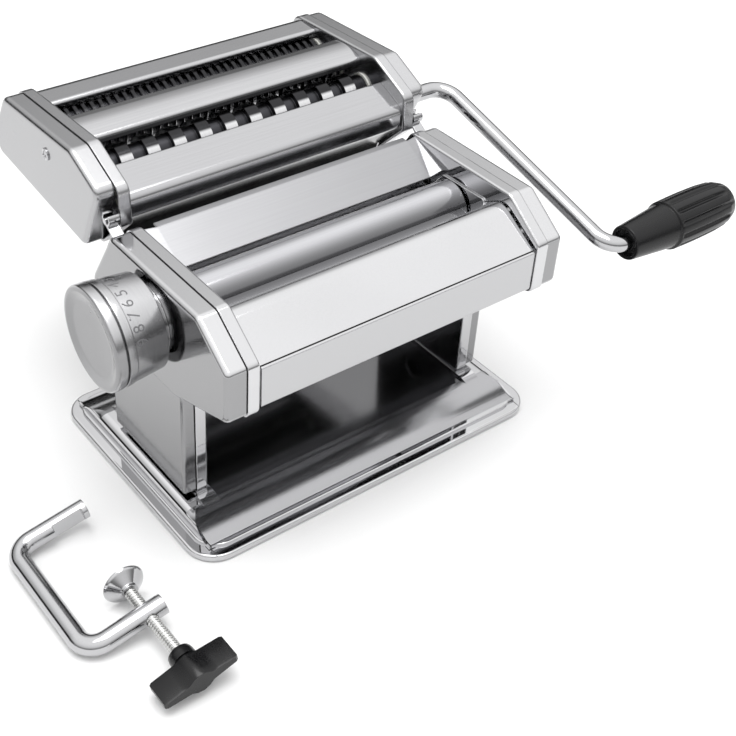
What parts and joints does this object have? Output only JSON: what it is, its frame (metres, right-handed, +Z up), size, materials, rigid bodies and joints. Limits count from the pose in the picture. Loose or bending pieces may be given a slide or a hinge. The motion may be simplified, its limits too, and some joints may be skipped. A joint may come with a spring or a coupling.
{
  "type": "pasta roller machine",
  "caption": "Hand-cranked steel pasta roller with a gap dial, a lift-off cutter head, a plug-in crank with a turning grip and a loose table clamp.",
  "frame": {"origin": "on the table under the middle of the base", "axes": "+X along the rollers towards the crank side, the front is -Y, +Z up"},
  "size_m": [0.3672, 0.2563, 0.1589],
  "materials": {
    "polished_steel": "polished",
    "satin_steel": "satin",
    "plain_steel": "machined",
    "pale_plastic": "matte",
    "black_plastic": "semi-gloss",
    "black_rubber": "matte"
  },
  "bodies": {
    "machine_frame": {"base_plate": "polished_steel", "base_feet": "black_rubber", "left_inner_plate": "polished_steel", "right_inner_plate": "polished_steel", "left_outer_cover": "polished_steel", "right_outer_cover": "polished_steel", "front_panel": "polished_steel", "hopper_plate": "polished_steel", "left_end_guard": "polished_steel", "right_end_guard": "polished_steel", "front_scraper": "plain_steel", "rear_scraper": "plain_steel", "tie_rods": "plain_steel", "left_guide_hook": "polished_steel", "right_guide_hook": "polished_steel", "body_screws": "polished_steel", "rear_roller_bushes": "pale_plastic", "shaft_bushes": "pale_plastic", "index_plate": "plain_steel"},
    "drive_roller": {"rear_roller": "satin_steel", "rear_roller_gear": "plain_steel"},
    "regulator": {"eccentric_shaft": "plain_steel"},
    "dial": {"dial_ring": "polished_steel", "dial_cap": "polished_steel", "index_pin": "plain_steel"},
    "roller_carrier": {"carrier_bushes": "pale_plastic"},
    "set_roller": {"front_roller": "satin_steel", "front_roller_gear": "plain_steel"},
    "cutter_head": {"cutter_left_plate": "polished_steel", "cutter_right_plate": "polished_steel", "cutter_left_cover": "polished_steel", "cutter_right_cover": "polished_steel", "cutter_front_cover": "polished_steel", "cutter_centre_cover": "polished_steel", "cutter_rear_cover": "polished_steel", "cutter_bushes": "pale_plastic", "wide_front_comb": "black_plastic", "wide_rear_comb": "black_plastic", "thin_front_comb": "black_plastic", "thin_rear_comb": "black_plastic", "cutter_tie_rods": "plain_steel", "cutter_studs": "polished_steel", "cutter_screws": "polished_steel"},
    "wide_driver": {"wide_front_roll": "satin_steel", "wide_front_gear": "plain_steel"},
    "wide_follower": {"wide_rear_roll": "satin_steel", "wide_rear_gear": "plain_steel"},
    "thin_driver": {"thin_front_roll": "satin_steel", "thin_front_gear": "plain_steel"},
    "thin_follower": {"thin_rear_roll": "satin_steel", "thin_rear_gear": "plain_steel"},
    "crank": {"crank_rod": "polished_steel"},
    "crank_handle": {"crank_grip": "black_plastic"},
    "clamp": {"clamp_arm": "polished_steel"},
    "clamp_jaw": {"clamp_pad": "polished_steel"},
    "clamp_spindle": {"clamp_screw": "polished_steel", "clamp_knob": "black_plastic"}
  },
  "joints": [
    {"name": "roller_turn", "type": "hinge", "parent": "machine_frame", "child": "drive_roller", "pos_m": [0, 0.00467, 0.09952], "axis": [1, 0, 0], "continuous": true},
    {"name": "dial_turn", "type": "hinge", "parent": "machine_frame", "child": "regulator", "pos_m": [0, -0.02, 0.1085], "axis": [1, 0, 0], "range_deg": [0, 180]},
    {"name": "dial_pull", "type": "slide", "parent": "regulator", "child": "dial", "axis": [-1, 0, 0], "range_m": [0, 0.005], "stiffness_N_per_m": 800, "springref_m": -0.001},
    {"name": "carrier_float", "type": "hinge", "parent": "regulator", "child": "roller_carrier", "pos_m": [0, -0.02108, 0.10889], "axis": [1, 0, 0], "range_deg": [-180, 0]},
    {"name": "set_roller_turn", "type": "hinge", "parent": "roller_carrier", "child": "set_roller", "pos_m": [0, -0.02108, 0.10889], "axis": [1, 0, 0], "continuous": true},
    {"name": "head_lift", "type": "slide", "parent": "machine_frame", "child": "cutter_head", "axis": [0, 0, 1], "range_m": [0, 0.06]},
    {"name": "wide_turn", "type": "hinge", "parent": "cutter_head", "child": "wide_driver", "pos_m": [0, 0.038, 0.1355], "axis": [1, 0, 0], "continuous": true},
    {"name": "wide_mesh", "type": "hinge", "parent": "cutter_head", "child": "wide_follower", "pos_m": [0, 0.05443, 0.13899], "axis": [1, 0, 0], "continuous": true},
    {"name": "thin_turn", "type": "hinge", "parent": "cutter_head", "child": "thin_driver", "pos_m": [0, 0.0782, 0.1423], "axis": [1, 0, 0], "continuous": true},
    {"name": "thin_mesh", "type": "hinge", "parent": "cutter_head", "child": "thin_follower", "pos_m": [0, 0.0948, 0.1423], "axis": [1, 0, 0], "continuous": true},
    {"name": "crank_pull", "type": "slide", "parent": "wide_driver", "child": "crank", "axis": [1, 0, 0], "range_m": [0, 0.03]},
    {"name": "grip_turn", "type": "hinge", "parent": "crank", "child": "crank_handle", "pos_m": [0.16, -0.08775, 0.10251], "axis": [1, 0, 0], "continuous": true},
    {"name": "clamp_slide", "type": "slide", "parent": "machine_frame", "child": "clamp", "axis": [-1, 0, 0], "range_m": [0, 0.06]},
    {"name": "jaw_slide", "type": "slide", "parent": "clamp", "child": "clamp_jaw", "axis": [0, 1, 0], "range_m": [-0.008, 0.02]},
    {"name": "screw_turn", "type": "hinge", "parent": "clamp_jaw", "child": "clamp_spindle", "pos_m": [-0.13648, -0.093, 0.00993], "axis": [0, 1, 0], "range_deg": [-1920, 4800]}
  ],
  "couplings": [
    {"joint": "carrier_float", "follows": "dial_turn", "ratio": -1},
    {"joint": "set_roller_turn", "follows": "roller_turn", "ratio": -1},
    {"joint": "wide_mesh", "follows": "wide_turn", "ratio": -1},
    {"joint": "thin_mesh", "follows": "thin_turn", "ratio": -1},
    {"joint": "jaw_slide", "follows": "screw_turn", "m_per_rad": 0.00023873}
  ]
}
